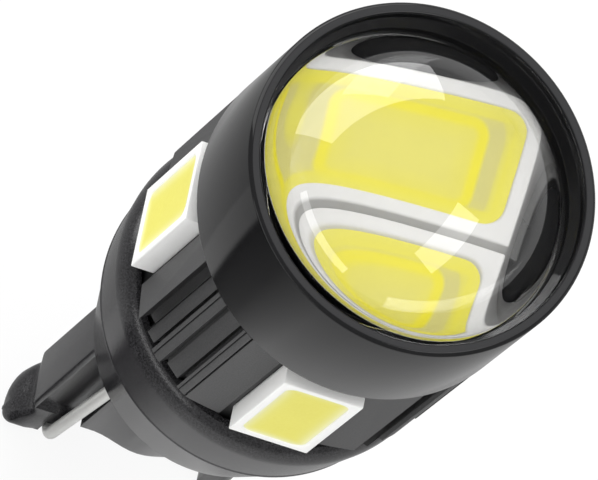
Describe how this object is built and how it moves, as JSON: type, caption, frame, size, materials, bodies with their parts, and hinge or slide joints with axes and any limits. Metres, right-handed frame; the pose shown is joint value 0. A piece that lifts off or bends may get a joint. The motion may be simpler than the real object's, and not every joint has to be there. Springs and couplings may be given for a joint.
{
  "type": "led car bulb",
  "caption": "Small wedge-base LED bulb for a car: a black ring with a clear domed lens, lamps round a ribbed heat sink, and a collar over a flat wedge with two contact wires.",
  "frame": {"origin": "centre of the flat rear face of the collar, where the wedge begins", "axes": "+Z along the bulb towards the lens, X along the width of the wedge, and one side lamp faces each of -X, -Y, +X and +Y"},
  "size_m": [0.0128, 0.0128, 0.0339],
  "materials": {
    "ring_black": "black anodised, satin",
    "sink_black": "black anodised, satin",
    "base_black": "moulded black nylon, fine grain",
    "lens_clear": "clear, polished",
    "housing_white": "moulded white",
    "phosphor_yellow": "clear silicone over yellow phosphor, unlit",
    "solder_tin": "tinned",
    "wire_tinned": "tinned",
    "component_black": "moulded black",
    "board_black": "black solder mask"
  },
  "bodies": {
    "root": {"base": "base_black", "contact_wire_1": "wire_tinned", "contact_wire_2": "wire_tinned", "driver_board": "board_black", "front_board": "board_black", "front_lamp_1_housing": "housing_white", "front_lamp_1_pads": "solder_tin", "front_lamp_1_phosphor": "phosphor_yellow", "front_lamp_2_housing": "housing_white", "front_lamp_2_pads": "solder_tin", "front_lamp_2_phosphor": "phosphor_yellow", "front_ring": "ring_black", "heat_sink": "sink_black", "lens": "lens_clear", "rectifier": "component_black", "resistor_1": "component_black", "resistor_2": "component_black", "side_board_1": "board_black", "side_board_2": "board_black", "side_board_3": "board_black", "side_board_4": "board_black", "side_lamp_1_housing": "housing_white", "side_lamp_1_pads": "solder_tin", "side_lamp_1_phosphor": "phosphor_yellow", "side_lamp_2_housing": "housing_white", "side_lamp_2_pads": "solder_tin", "side_lamp_2_phosphor": "phosphor_yellow", "side_lamp_3_housing": "housing_white", "side_lamp_3_pads": "solder_tin", "side_lamp_3_phosphor": "phosphor_yellow", "side_lamp_4_housing": "housing_white", "side_lamp_4_pads": "solder_tin", "side_lamp_4_phosphor": "phosphor_yellow"}
  },
  "joints": []
}
